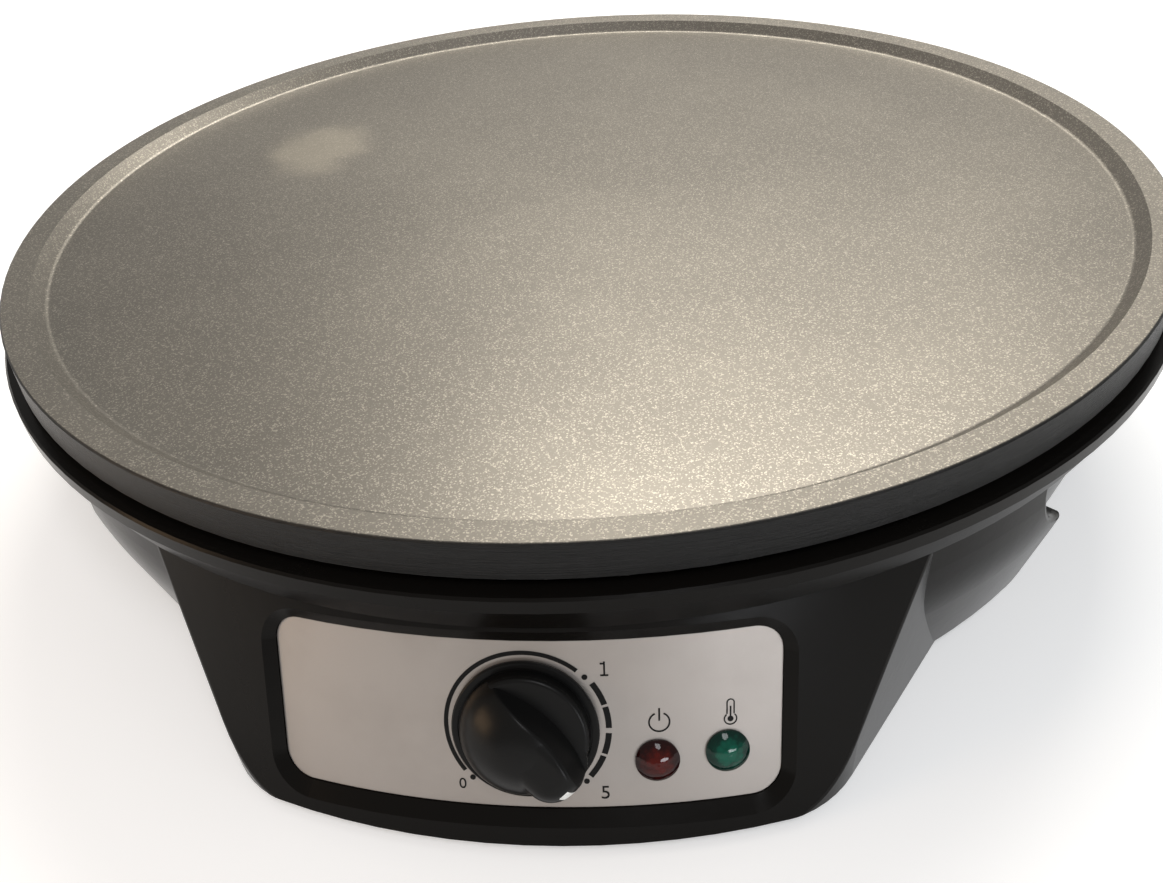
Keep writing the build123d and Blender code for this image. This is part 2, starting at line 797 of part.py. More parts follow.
with BuildPart() as knob:
    with BuildSketch(knob_side):
        with BuildLine():
            Polyline(
                (0, rim_height),
                (0, knob_lift),
                (knob_radius, knob_lift),
                (knob_radius, flange_edge),
                (knob_radius - 0.3, flange_face),
                (body_radius + groove_width, flange_face),
                (body_radius + groove_width, groove_floor),
                (body_radius, groove_floor),
                (body_radius, rim_height),
                close=True,
            )
        make_face()
    revolve(axis=knob_axis)
    add(grip)
    add(pointer_slot, mode=Mode.SUBTRACT)
    with BuildSketch(knob_plane.offset(knob_lift)):
        Circle(cavity_radius)
        Circle(hub_radius, mode=Mode.SUBTRACT)
    extrude(amount=cavity_top - knob_lift, mode=Mode.SUBTRACT)
    with BuildSketch(knob_plane.offset(knob_lift)):
        Circle(hub_radius)
    extrude(amount=hub_lift - knob_lift, mode=Mode.SUBTRACT)
    with BuildSketch(knob_plane.offset(knob_lift)):
        Circle(shaft_radius + running_gap)
        with Locations((0, spring_seat + shaft_radius)):
            Rectangle(4 * shaft_radius, 2 * shaft_radius, mode=Mode.SUBTRACT)
    extrude(amount=bore_top - knob_lift, mode=Mode.SUBTRACT)
save(knob, "knob")

with BuildPart() as knob_pointer:
    add(grip)
    add(pointer_slot, mode=Mode.INTERSECT)
save(knob_pointer, "knob_pointer")

with BuildPart() as knob_spring:
    with BuildSketch(knob_plane.offset(1.2)):
        with Locations((0, shaft_flat + running_gap + spring_thickness / 2)):
            Rectangle(2.6, spring_thickness)
    extrude(amount=shaft_reach - 1.2)
save(knob_spring, "knob_spring")

# Thermostat behind the panel: flanged bush, body, terminals and the shaft the knob turns
body_front = -pad_depth - 1.2
with BuildPart() as thermostat_flange:
    with BuildSketch(control.offset(-pad_depth)):
        RectangleRounded(30, 22, 3)
        with Locations(*thermostat_seats):
            Circle(small_hole, mode=Mode.SUBTRACT)
    extrude(amount=-1.2)
    with BuildSketch(control.offset(-pad_depth)):
        Circle(bush_outer)
    extrude(amount=pad_depth + 0.4)
    with BuildSketch(control.offset(body_front)):
        Circle(shaft_radius + running_gap)
    extrude(amount=10, mode=Mode.SUBTRACT)
save(thermostat_flange, "thermostat_flange")

with BuildPart() as thermostat_body:
    with BuildSketch(control.offset(-thermostat_depth)):
        RectangleRounded(26, 21, 2)
    extrude(amount=thermostat_depth + body_front)
    with BuildSketch(control.offset(body_front)):
        Circle(shaft_radius + 1 + running_gap)
    extrude(amount=-2, mode=Mode.SUBTRACT)
    with BuildSketch(control.offset(body_front)):
        Circle(shaft_radius + running_gap)
    extrude(amount=-11, mode=Mode.SUBTRACT)
save(thermostat_body, "thermostat_body")

with BuildPart() as thermostat_shaft:
    with BuildSketch(control.offset(body_front - 10.5)):
        Circle(shaft_radius)
    extrude(amount=shaft_reach - body_front + 10.5)
    with BuildSketch(control.offset(body_front - 1.7)):
        Circle(shaft_radius + 1)
    extrude(amount=1.5)
    with BuildSketch(knob_plane.offset(hub_lift)):
        with Locations((0, shaft_flat + shaft_radius)):
            Rectangle(4 * shaft_radius, 2 * shaft_radius)
    extrude(amount=shaft_reach, mode=Mode.SUBTRACT)
save(thermostat_shaft, "thermostat_shaft")

inward = Plane(origin=control.origin, x_dir=control.x_dir, z_dir=-control.z_dir)
with BuildPart() as thermostat_screws:
    with Locations(inward.offset(0.45)):
        with Locations(*thermostat_seats):
            add(pan_screw(small_screw, 4.8, 2.5, 1.6))
save(thermostat_screws, "thermostat_screws")

terminal_seats = [(-6, -1), (6, -1)]
blade_length = 8.0
with BuildPart() as thermostat_terminals:
    with BuildSketch(control.offset(-thermostat_depth)):
        with Locations(*terminal_seats):
            Rectangle(0.8, 6.3)
    extrude(amount=-blade_length)
save(thermostat_terminals, "thermostat_terminals")

# Lamps: domed lenses with hollow stems, push-on collars behind, neon lamps inside
lens_names = ("power_lens", "ready_lens")
for lamp_plane, lens_name in zip(lamp_planes, lens_names):
    with BuildPart() as lens:
        with BuildSketch(upright_plane(lamp_plane)):
            with BuildLine():
                Polyline(
                    (0, lens_rise),
                    (0, 0.8),
                    (neon_radius + fit_gap, -0.4),
                    (neon_radius + fit_gap, -7),
                    (lens_stem, -7),
                    (lens_stem, 0),
                    (lens_radius, 0),
                    (lens_radius, 0.5),
                )
                TangentArc((0, lens_rise), (lens_radius, 0.5), tangent=(1, 0))
            make_face()
        revolve(axis=Axis(lamp_plane.origin, lamp_plane.z_dir))
    save(lens, lens_name)

collar_front = -2.8
with BuildPart() as lamp_collars:
    for lamp_plane in lamp_planes:
        with BuildSketch(lamp_plane.offset(collar_front)):
            Circle(5.5)
            Circle(stem_hole, mode=Mode.SUBTRACT)
        extrude(amount=-1.5)
save(lamp_collars, "lamp_collars")

neon_back = -13.0
with BuildPart() as neon_lamps:
    for lamp_plane in lamp_planes:
        with BuildSketch(upright_plane(lamp_plane)):
            with BuildLine():
                Polyline((0, -1.4), (0, neon_back), (neon_radius, neon_back), (neon_radius, -2.5))
                TangentArc((0, -1.4), (neon_radius, -2.5), tangent=(1, 0))
            make_face()
        revolve(axis=Axis(lamp_plane.origin, lamp_plane.z_dir))
save(neon_lamps, "neon_lamps")

# Bottom cover with vent slots, its screws and the four feet
with BuildPart() as bottom_cover:
    with Locations((0, 0, housing_bottom + cover_thickness / 2)):
        Cylinder(skirt_bottom_radius - wall - cover_gap, cover_thickness)
    add(lobe_block(lobe_wall + cover_gap, cover_top))
    with BuildSketch(Plane.XY.offset(housing_bottom)):
        with Locations(*ring_points(column_circle, column_angles)):
            Circle(small_hole)
        with Locations(*ring_points(foot_circle, foot_angles)):
            Circle(foot_stem + fit_gap)
        with GridLocations(11, 60, 9, 2):
            SlotOverall(44, 3.5, rotation=90)
    extrude(amount=cover_thickness, mode=Mode.SUBTRACT)
save(bottom_cover, "bottom_cover")

with BuildPart() as cover_screws:
    with Locations(Plane.XY.offset(housing_bottom)):
        with Locations(*ring_points(column_circle, column_angles)):
            add(pan_screw(small_screw, 12, 3.2, 2.2))
save(cover_screws, "cover_screws")

foot_height = housing_bottom - table
with BuildPart() as feet:
    with BuildSketch(Plane.XY.offset(table)):
        with Locations(*ring_points(foot_circle, foot_angles)):
            Circle(foot_radius)
    extrude(amount=foot_height)
    chamfer(feet.edges().group_by(Axis.Z)[0], 0.8)
    with BuildSketch(Plane.XY.offset(housing_bottom)):
        with Locations(*ring_points(foot_circle, foot_angles)):
            Circle(foot_stem)
    extrude(amount=cover_thickness)
    with BuildSketch(Plane.XY.offset(cover_top)):
        with Locations(*ring_points(foot_circle, foot_angles)):
            Circle(foot_stem + 1)
    extrude(amount=3, taper=18)
save(feet, "feet")

# Cord bush in the rear wall, open for the cord
with BuildPart() as cord_bush:
    with BuildSketch(cord_plane):
        Circle(cord_bush_radius + 2.5)
    extrude(amount=2.5)
    chamfer(cord_bush.edges().group_by(Axis.Y)[-1], 0.8)
    with BuildSketch(cord_plane):
        Circle(cord_bush_radius)
    extrude(amount=-cord_pad_depth)
    with BuildSketch(cord_plane.offset(-cord_pad_depth)):
        Circle(cord_bush_radius + 2)
    extrude(amount=-2.5)
    with BuildSketch(cord_plane):
        Circle(cord_bore)
    extrude(amount=20, both=True, mode=Mode.SUBTRACT)
save(cord_bush, "cord_bush")

# Terminal block under the deck, with one clamp screw to each pole
block_x, block_y = block_centre
block_width, block_length, block_height = block_size
block_bottom = deck_bottom - block_height
block_front = block_y - block_length / 2
with BuildPart() as terminal_block:
    with BuildSketch(Plane.XY.offset(block_bottom)):
        with Locations(block_centre):
            RectangleRounded(block_width, block_length, 1.5)
    extrude(amount=block_height)
    with BuildSketch(Plane.XY.offset(block_bottom)):
        with Locations((block_x, block_y + 5.5)):
            Circle(small_hole)
    extrude(amount=block_height, mode=Mode.SUBTRACT)
    with BuildSketch(Plane.XZ.offset(-block_front)):
        with Locations(*[(block_x + x, pole_height) for x in pole_offsets]):
            Circle(wire_radius + 0.1)
    extrude(amount=-6, mode=Mode.SUBTRACT)
    with BuildSketch(Plane.XY.offset(block_bottom)):
        with Locations(*[(block_x + x, block_front + 4) for x in pole_offsets]):
            Circle(small_hole)
    extrude(amount=4.5, mode=Mode.SUBTRACT)
save(terminal_block, "terminal_block")

with BuildPart() as terminal_clamps:
    for x in pole_offsets:
        with Locations((block_x + x, block_front + 4, block_bottom)):
            add(pan_screw(small_screw, 4.4, 2.6, 1.4))
save(terminal_clamps, "terminal_clamps")

with BuildPart() as terminal_block_screw:
    with Locations((block_x, block_y + 5.5, block_bottom)):
        add(pan_screw(small_screw, block_height + deck_thickness - 0.5, 2.8, 1.8))
save(terminal_block_screw, "terminal_block_screw")

# Wires: block to thermostat, thermostat to heater, heater through the fuse back to the block
pole_x = [block_x + x for x in pole_offsets]
pole_end = block_front + 5.5
blade_back = -thermostat_depth - blade_length
wire_bend = 8.0
with BuildPart() as live_wire:
    route = [
        control.from_local_coords((6, -1, blade_back)),
        control.from_local_coords((6, -1, blade_back - 12)),
        (pole_x[0], -40, -40),
        (pole_x[0], 85, pole_height),
        (pole_x[0], pole_end, pole_height),
    ]
    add(wire_run(route, wire_radius, wire_bend))
save(live_wire, "live_wire")

with BuildPart() as heater_wire:
    route = [
        control.from_local_coords((-6, -1, blade_back)),
        control.from_local_coords((-6, -1, blade_back - 12)),
        (-60, -60, -46),
        (leg_x, -leg_y, -46),
        (leg_x, -leg_y, terminal_bottom),
    ]
    add(wire_run(route, wire_radius, wire_bend))
save(heater_wire, "heater_wire")

fuse_ends = (fuse_y - fuse_length / 2, fuse_y + fuse_length / 2)
with BuildPart() as fuse_wires:
    route = [
        (leg_x, leg_y, terminal_bottom),
        (leg_x, leg_y, -46),
        (fuse_x, -12, -46),
        (fuse_x, -12, fuse_height),
        (fuse_x, fuse_ends[0], fuse_height),
    ]
    add(wire_run(route, wire_radius, wire_bend))
    route = [
        (fuse_x, fuse_ends[1], fuse_height),
        (fuse_x, 58, fuse_height),
        (-40, 75, -34),
        (pole_x[1] - 8, 78, -34),
        (pole_x[1], 88, pole_height),
        (pole_x[1], pole_end, pole_height),
    ]
    add(wire_run(route, wire_radius, 6))
save(fuse_wires, "fuse_wires")

with BuildPart() as earth_wire:
    earth_height = deck_top - wire_radius
    route = [
        (pole_x[3], pole_end, pole_height),
        (pole_x[3], 80, pole_height),
        (earth_point[0], 68, earth_height),
        (earth_point[0], earth_point[1] + 3.45, earth_height),
    ]
    add(wire_run(route, wire_radius, 6))
save(earth_wire, "earth_wire")

with BuildPart() as lamp_wires:
    for lamp_plane, blade_y, blade_depth in ((power_plane, 1, 2), (ready_plane, -3, 5)):
        tap_depth = -thermostat_depth - blade_depth
        route = [
            lamp_plane.from_local_coords((-1, 0, neon_back)),
            lamp_plane.from_local_coords((-1, 0, neon_back - 7)),
            control.from_local_coords((16, blade_y, tap_depth)),
            control.from_local_coords((6.4, blade_y, tap_depth)),
        ]
        add(wire_run(route, lamp_wire_radius, 3))
save(lamp_wires, "lamp_wires")
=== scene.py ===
import bpy
import math
from mathutils import Matrix, Vector


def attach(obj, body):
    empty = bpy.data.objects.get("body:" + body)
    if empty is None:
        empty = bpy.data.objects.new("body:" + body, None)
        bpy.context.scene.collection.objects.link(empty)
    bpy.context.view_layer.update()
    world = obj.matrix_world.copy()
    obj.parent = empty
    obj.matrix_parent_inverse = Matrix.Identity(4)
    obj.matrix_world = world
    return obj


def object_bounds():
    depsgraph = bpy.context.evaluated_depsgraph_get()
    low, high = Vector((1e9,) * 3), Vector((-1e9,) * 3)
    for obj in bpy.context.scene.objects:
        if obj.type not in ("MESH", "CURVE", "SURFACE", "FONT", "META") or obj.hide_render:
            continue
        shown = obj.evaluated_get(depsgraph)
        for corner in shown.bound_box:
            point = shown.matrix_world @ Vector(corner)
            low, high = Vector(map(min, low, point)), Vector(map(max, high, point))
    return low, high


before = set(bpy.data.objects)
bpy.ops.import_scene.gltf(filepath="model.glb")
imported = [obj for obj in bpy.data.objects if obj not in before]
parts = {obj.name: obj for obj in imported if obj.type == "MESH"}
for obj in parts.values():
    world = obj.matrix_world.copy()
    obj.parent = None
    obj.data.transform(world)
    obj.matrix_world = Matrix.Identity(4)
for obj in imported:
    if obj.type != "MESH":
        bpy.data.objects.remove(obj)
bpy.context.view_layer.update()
print("frame loaded:", len(parts), "parts")


def clearSelection():
    if bpy.context.object and bpy.context.object.mode != "OBJECT":
        bpy.ops.object.mode_set(mode="OBJECT")
    bpy.ops.object.select_all(action="DESELECT")


def pickOnly(piece):
    clearSelection()
    piece.select_set(True)
    bpy.context.view_layer.objects.active = piece


def applyPlace(piece):
    pickOnly(piece)
    bpy.ops.object.transform_apply(location=True, rotation=True, scale=True)


# material helpers

def newMaterial(name, look):
    material = bpy.data.materials.new(name)
    material.use_nodes = True
    shader = material.node_tree.nodes["Principled BSDF"]
    for socket, value in look.items():
        shader.inputs[socket].default_value = value
    return material, material.node_tree, shader


def addNode(tree, kind, settings=None, inputs=None):
    made = tree.nodes.new(kind)
    for key, value in (settings or {}).items():
        setattr(made, key, value)
    for key, value in (inputs or {}).items():
        made.inputs[key].default_value = value
    return made


def objectPoint(tree):
    return addNode(tree, "ShaderNodeTexCoord").outputs["Object"]


def mathNode(tree, operation, first, second):
    made = addNode(tree, "ShaderNodeMath", {"operation": operation})
    for index, value in enumerate((first, second)):
        if isinstance(value, (int, float)):
            made.inputs[index].default_value = value
        else:
            tree.links.new(value, made.inputs[index])
    return made.outputs[0]


def smoothStep(tree, value, low, high):
    limits = {"From Min": low, "From Max": high}
    made = addNode(tree, "ShaderNodeMapRange", {"interpolation_type": "SMOOTHSTEP"}, limits)
    tree.links.new(value, made.inputs["Value"])
    return made.outputs[0]


def noise(tree, scale, detail=3.0, roughness=0.5, point=None, stretch=None):
    look = {"Scale": scale, "Detail": detail, "Roughness": roughness}
    made = addNode(tree, "ShaderNodeTexNoise", None, look)
    point = point or objectPoint(tree)
    if stretch:
        mapping = addNode(tree, "ShaderNodeMapping", None, {"Scale": stretch})
        tree.links.new(point, mapping.inputs["Vector"])
        point = mapping.outputs[0]
    tree.links.new(point, made.inputs["Vector"])
    return made.outputs["Fac"]


def blendColor(tree, factor, first, second):
    made = addNode(tree, "ShaderNodeMix", {"data_type": "RGBA"})
    for index, value in ((0, factor), (6, first), (7, second)):
        if hasattr(value, "is_output"):
            tree.links.new(value, made.inputs[index])
        else:
            made.inputs[index].default_value = value
    return made.outputs[2]


def setColor(tree, shader, factor, first, second):
    tree.links.new(blendColor(tree, factor, first, second), shader.inputs["Base Color"])


def setRoughness(tree, shader, lowest, pattern, spread):
    wider = mathNode(tree, "MULTIPLY", pattern, spread)
    tree.links.new(mathNode(tree, "ADD", lowest, wider), shader.inputs["Roughness"])


def voronoi(tree, scale, point):
    made = addNode(tree, "ShaderNodeTexVoronoi", None, {"Scale": scale, "Randomness": 1.0})
    tree.links.new(point, made.inputs["Vector"])
    return made.outputs


def addBump(tree, shader, height, strength, distance, under=None):
    made = addNode(tree, "ShaderNodeBump", None, {"Strength": strength, "Distance": distance})
    tree.links.new(height, made.inputs["Height"])
    if under:
        tree.links.new(under, made.inputs["Normal"])
    tree.links.new(made.outputs[0], shader.inputs["Normal"])
    return made.outputs[0]


def paint(name, material):
    piece = parts[name]
    piece.data.materials.clear()
    piece.data.materials.append(material)


# griddle plate: sparkling coat on top, turned black wall, bare casting below

plateLook = {
    "coatColor": (0.178, 0.165, 0.145, 1),
    "coatPale": (0.205, 0.190, 0.166, 1),
    "fleckColor": (0.72, 0.67, 0.57, 1),
    "coatMetal": 0.80,
    "wallColor": (0.006, 0.006, 0.006, 1),
    "metalColor": (0.42, 0.41, 0.39, 1),
    "wallRadius": 0.1519,
    "wallBlend": 0.0003,
    "gloss": 0.22,
    "cloudNoise": (14.0, 5.0, 0.6),
    "cloudRange": (0.35, 0.7),
    "fleckScale": 3600.0,
    "fleckShare": 0.36,
    "fleckStart": 0.72,
    "smearPlace": (-0.086, 0.034),
    "smearSize": (0.017, 0.022),
    "smearColor": (0.42, 0.38, 0.31, 1),
    "smearEdge": (0.95, 1.75),
    "smearShare": 0.42,
    "smearNoise": (70.0, 4.0, 0.6),
    "smearWander": 1.1,
    "undersideDepth": (0.0046, 0.0052),
    "roughness": 0.34,
    "grainNoise": (1500.0, 2.0, 0.6),
    "grainRoughness": 0.12,
    "smearRoughness": 0.08,
    "fleckBump": (0.25, 0.00008),
    "wallBump": (0.5, 0.0005),
    "wallNoise": (60.0, 5.0, 0.7),
    "wallStretch": (0.4, 0.4, 70.0),
}


def makePlateCoat():
    look = plateLook
    material, tree, shader = newMaterial("sparkleCoat", {"Specular IOR Level": look["gloss"]})
    point = objectPoint(tree)
    split = addNode(tree, "ShaderNodeSeparateXYZ")
    tree.links.new(point, split.inputs[0])
    flat = addNode(tree, "ShaderNodeCombineXYZ")
    tree.links.new(split.outputs[0], flat.inputs[0])
    tree.links.new(split.outputs[1], flat.inputs[1])
    reach = addNode(tree, "ShaderNodeVectorMath", {"operation": "LENGTH"})
    tree.links.new(flat.outputs[0], reach.inputs[0])
    wallEnd = look["wallRadius"] + look["wallBlend"]
    onWall = smoothStep(tree, reach.outputs["Value"], look["wallRadius"], wallEnd)
    depthDown = mathNode(tree, "MULTIPLY", split.outputs[2], -1.0)
    below = smoothStep(tree, depthDown, *look["undersideDepth"])
    coat = mathNode(tree, "SUBTRACT", 1.0, onWall)
    # fine metal flecks on a softly clouded ground
    cells = addNode(tree, "ShaderNodeSeparateColor")
    tree.links.new(voronoi(tree, look["fleckScale"], point)["Color"], cells.inputs[0])
    bright = smoothStep(tree, cells.outputs[0], look["fleckStart"], 1.0)
    fleck = mathNode(tree, "MULTIPLY", bright, look["fleckShare"])
    cloud = smoothStep(tree, noise(tree, *look["cloudNoise"], point), *look["cloudRange"])
    ground = blendColor(tree, cloud, look["coatColor"], look["coatPale"])
    speckled = blendColor(tree, fleck, ground, look["fleckColor"])
    # dried smear left of the middle
    acrossSize, depthSize = look["smearSize"]
    across, depth = look["smearPlace"]
    shift = addNode(tree, "ShaderNodeMapping", None, {
        "Location": (-across / acrossSize, -depth / depthSize, 0),
        "Scale": (1 / acrossSize, 1 / depthSize, 0)})
    tree.links.new(point, shift.inputs["Vector"])
    away = addNode(tree, "ShaderNodeVectorMath", {"operation": "LENGTH"})
    tree.links.new(shift.outputs[0], away.inputs[0])
    ripples = noise(tree, *look["smearNoise"], point)
    wander = mathNode(tree, "MULTIPLY", ripples, look["smearWander"])
    ragged = mathNode(tree, "ADD", away.outputs["Value"], wander)
    smear = mathNode(tree, "SUBTRACT", 1.0, smoothStep(tree, ragged, *look["smearEdge"]))
    smearAmount = mathNode(tree, "MULTIPLY", smear, look["smearShare"])
    smeared = blendColor(tree, smearAmount, speckled, look["smearColor"])
    topAndWall = blendColor(tree, onWall, smeared, look["wallColor"])
    setColor(tree, shader, below, topAndWall, look["metalColor"])
    metal = mathNode(tree, "MAXIMUM", fleck, look["coatMetal"])
    tree.links.new(mathNode(tree, "MULTIPLY", metal, coat), shader.inputs["Metallic"])
    grain = noise(tree, *look["grainNoise"], point)
    grainRough = mathNode(tree, "MULTIPLY", grain, look["grainRoughness"])
    lowest = mathNode(tree, "ADD", look["roughness"], grainRough)
    setRoughness(tree, shader, lowest, smear, look["smearRoughness"])
    # turning marks run round the wall
    lines = noise(tree, *look["wallNoise"], point, look["wallStretch"])
    fleckHeight = mathNode(tree, "MULTIPLY", cells.outputs[1], coat)
    wallHeight = mathNode(tree, "MULTIPLY", lines, onWall)
    under = addBump(tree, shader, fleckHeight, *look["fleckBump"])
    addBump(tree, shader, wallHeight, *look["wallBump"], under)
    return material


paint("griddle_plate", makePlateCoat())
print("griddle plate dressed")


# black mouldings: base shell, cover, knob and rubber

mouldingLooks = {
    "glossyMoulding": {
        "color": (0.0050, 0.0045, 0.0040, 1), "dustColor": (0.075, 0.066, 0.055, 1), "dust": 0.25,
        "rough": 0.17, "gloss": 0.08, "ripple": 380.0, "rippleStrength": 0.10},
    "knobPlastic": {
        "color": (0.0060, 0.0060, 0.0060, 1), "dustColor": (0.09, 0.08, 0.065, 1), "dust": 0.15,
        "rough": 0.26, "gloss": 0.12, "ripple": 700.0, "rippleStrength": 0.08},
    "coverPlastic": {
        "color": (0.012, 0.012, 0.012, 1), "dustColor": (0.10, 0.09, 0.08, 1), "dust": 0.40,
        "rough": 0.45, "gloss": 0.35, "ripple": 900.0, "rippleStrength": 0.25},
    "footRubber": {
        "color": (0.014, 0.014, 0.014, 1), "dustColor": (0.12, 0.11, 0.10, 1), "dust": 0.50,
        "rough": 0.62, "gloss": 0.30, "ripple": 1400.0, "rippleStrength": 0.30},
}
mouldingWear = {
    "speckNoise": (1100.0, 3.0, 0.7), "speckRange": (0.68, 0.82),
    "patchNoise": (25.0, 3.0, 0.6), "patchRange": (0.4, 0.75),
    "smearNoise": (14.0, 4.0, 0.6), "smearRoughness": 0.10,
    "rippleDetail": (2.0, 0.5), "rippleDepth": 0.0002,
}


def makeMoulding(name):
    look, wear = mouldingLooks[name], mouldingWear
    material, tree, shader = newMaterial(name, {"Specular IOR Level": look["gloss"]})
    point = objectPoint(tree)
    specks = smoothStep(tree, noise(tree, *wear["speckNoise"], point), *wear["speckRange"])
    patches = smoothStep(tree, noise(tree, *wear["patchNoise"], point), *wear["patchRange"])
    dusty = mathNode(tree, "MULTIPLY", mathNode(tree, "MULTIPLY", specks, patches), look["dust"])
    setColor(tree, shader, dusty, look["color"], look["dustColor"])
    smear = noise(tree, *wear["smearNoise"], point)
    setRoughness(tree, shader, look["rough"], smear, wear["smearRoughness"])
    ripple = noise(tree, look["ripple"], *wear["rippleDetail"], point)
    addBump(tree, shader, ripple, look["rippleStrength"], wear["rippleDepth"])
    return material


mouldingBlack = makeMoulding("glossyMoulding")
knobBlack = makeMoulding("knobPlastic")
coverBlack = makeMoulding("coverPlastic")
rubberBlack = makeMoulding("footRubber")
paint("housing", mouldingBlack)
paint("knob", knobBlack)
paint("bottom_cover", coverBlack)
for name in ("feet", "cord_bush"):
    paint(name, rubberBlack)
print("black mouldings dressed")


# silver panel

panelLook = {
    "color": (0.335, 0.308, 0.288, 1),
    "shade": (0.290, 0.265, 0.245, 1),
    "metal": 0.55,
    "toneNoise": (30.0, 4.0, 0.6),
    "toneRange": (0.35, 0.7),
    "grainNoise": (2500.0, 2.0, 0.6),
    "roughness": 0.32,
    "grainRoughness": 0.16,
    "grainBump": (0.15, 0.00005),
}


def makePanelSilver():
    look = panelLook
    material, tree, shader = newMaterial("silverPanel", {"Metallic": look["metal"]})
    point = objectPoint(tree)
    tone = smoothStep(tree, noise(tree, *look["toneNoise"], point), *look["toneRange"])
    setColor(tree, shader, tone, look["color"], look["shade"])
    grain = noise(tree, *look["grainNoise"], point)
    setRoughness(tree, shader, look["roughness"], grain, look["grainRoughness"])
    addBump(tree, shader, grain, *look["grainBump"])
    return material


paint("fascia", makePanelSilver())
print("panel dressed")


# printed marks: a dial ring with dots, dashes and plain numbers, and a small sign over each lamp

panelShape = {
    "topRadius": 0.1481, "topHeight": -0.018, "tilt": 22.3,
    "dialAcross": 0.001, "dialHeight": -0.0393, "lampHeight": -0.0465,
}
printLook = {
    "color": (0.004, 0.004, 0.004, 1),
    "worn": (0.014, 0.013, 0.012, 1),
    "gloss": 0.12,
    "wearNoise": (2600.0, 3.0, 0.6),
    "wearRange": (0.5, 0.8),
    "roughness": 0.35,
    "wearRoughness": 0.2,
    "wearBump": (0.1, 0.00002),
    "lift": 0.00003,
    "thickness": 0.00004,
    "ringSteps": 180, "signSteps": 72, "capSteps": 48, "dotSteps": 32, "barCuts": 3,
    "ringInner": 0.01515, "ringOuter": 0.01600, "ringFrom": 51.0, "ringTo": 217.0,
    "dashInner": 0.01525, "dashOuter": 0.01640,
    "dashSpan": 16.6, "dashMiddles": (27.0, 7.6, -12.2, -30.8),
    "dots": ((0.01148, 0.01062), (0.01135, -0.01128), (-0.01088, -0.01109)), "dotRadius": 0.00056,
    "numbers": (("0", (-0.01298, -0.01267), 0.0032), ("5", (0.01490, -0.01390), 0.0040)),
    "one": {
        "centre": (0.01520, 0.01235), "height": 0.0028, "line": 0.00034,
        "foot": 0.0015, "flag": (0.0008, 0.00042)},
    "powerSign": {
        "centre": (0.02531, 0.00085), "outer": 0.00210, "inner": 0.00178,
        "opening": 24.0, "stem": (0.00030, 0.00290), "line": 0.00034},
    "heatSign": {
        "bulb": (0.03876, 0.00052), "outer": 0.00130, "inner": 0.00104,
        "tube": 0.00080, "top": 0.0034, "drop": 0.00058,
        "columnMiddle": 0.42, "columnWidth": 1.2, "columnHeight": 0.72},
}


def panelPlace(across, height):
    lean = math.radians(panelShape["tilt"])
    radius = panelShape["topRadius"] + (panelShape["topHeight"] - height) * math.tan(lean)
    azimuth = math.asin(across / radius)
    east, north = math.sin(azimuth), math.cos(azimuth)
    out = Vector((east * math.cos(lean), -north * math.cos(lean), math.sin(lean)))
    side = Vector((north, east, 0))
    place = Matrix((side, out.cross(side), out)).transposed().to_4x4()
    place.translation = Vector((radius * east, -radius * north, height))
    return place


def selectFaces(piece, test):
    for face in piece.data.polygons:
        face.select = test(face)
    pickOnly(piece)
    bpy.ops.object.mode_set(mode="EDIT")
    bpy.ops.mesh.select_mode(type="FACE")


def flatRing(centre, inner, outer, fromAngle, toAngle, steps):
    clearSelection()
    bpy.ops.mesh.primitive_circle_add(
        vertices=steps, radius=outer, fill_type="NGON", location=(0, 0, 0))
    ring = bpy.context.object
    bpy.ops.object.mode_set(mode="EDIT")
    bpy.ops.mesh.select_all(action="SELECT")
    bpy.ops.mesh.inset(thickness=outer - inner)
    bpy.ops.mesh.delete(type="FACE")
    bpy.ops.object.mode_set(mode="OBJECT")

    def outside(face):
        turn = math.degrees(math.atan2(face.center.y, face.center.x))
        return (turn - fromAngle) % 360.0 > toAngle - fromAngle

    selectFaces(ring, outside)
    bpy.ops.mesh.delete(type="FACE")
    bpy.ops.object.mode_set(mode="OBJECT")
    ring.location = (centre[0], centre[1], 0)
    applyPlace(ring)
    return ring


def flatDot(centre, radius):
    clearSelection()
    bpy.ops.mesh.primitive_circle_add(
        vertices=printLook["dotSteps"], radius=radius, fill_type="NGON",
        location=(centre[0], centre[1], 0))
    dot = bpy.context.object
    bpy.ops.object.mode_set(mode="EDIT")
    bpy.ops.mesh.select_all(action="SELECT")
    bpy.ops.mesh.inset(thickness=radius * 0.5)
    bpy.ops.object.mode_set(mode="OBJECT")
    applyPlace(dot)
    return dot


def flatBar(centre, width, height):
    clearSelection()
    bpy.ops.mesh.primitive_plane_add(size=1.0, location=(centre[0], centre[1], 0))
    bar = bpy.context.object
    bar.scale = (width, height, 1)
    applyPlace(bar)
    bpy.ops.object.mode_set(mode="EDIT")
    bpy.ops.mesh.select_all(action="SELECT")
    bpy.ops.mesh.subdivide(number_cuts=printLook["barCuts"])
    bpy.ops.object.mode_set(mode="OBJECT")
    return bar


def flatNumber(text, centre, size):
    clearSelection()
    bpy.ops.object.text_add(location=(0, 0, 0))
    number = bpy.context.object
    number.data.body = text
    number.data.size = size
    number.data.align_x = "CENTER"
    number.data.align_y = "CENTER"
    bpy.ops.object.convert(target="MESH")
    number = bpy.context.object
    number.location = (centre[0], centre[1], 0)
    applyPlace(number)
    return number


def joinPieces(pieces, name):
    clearSelection()
    for piece in pieces:
        piece.select_set(True)
    bpy.context.view_layer.objects.active = pieces[0]
    bpy.ops.object.join()
    joined = bpy.context.object
    joined.name = name
    return joined


def applyModifier(piece, modifier):
    pickOnly(piece)
    bpy.ops.object.modifier_apply(modifier=modifier.name)


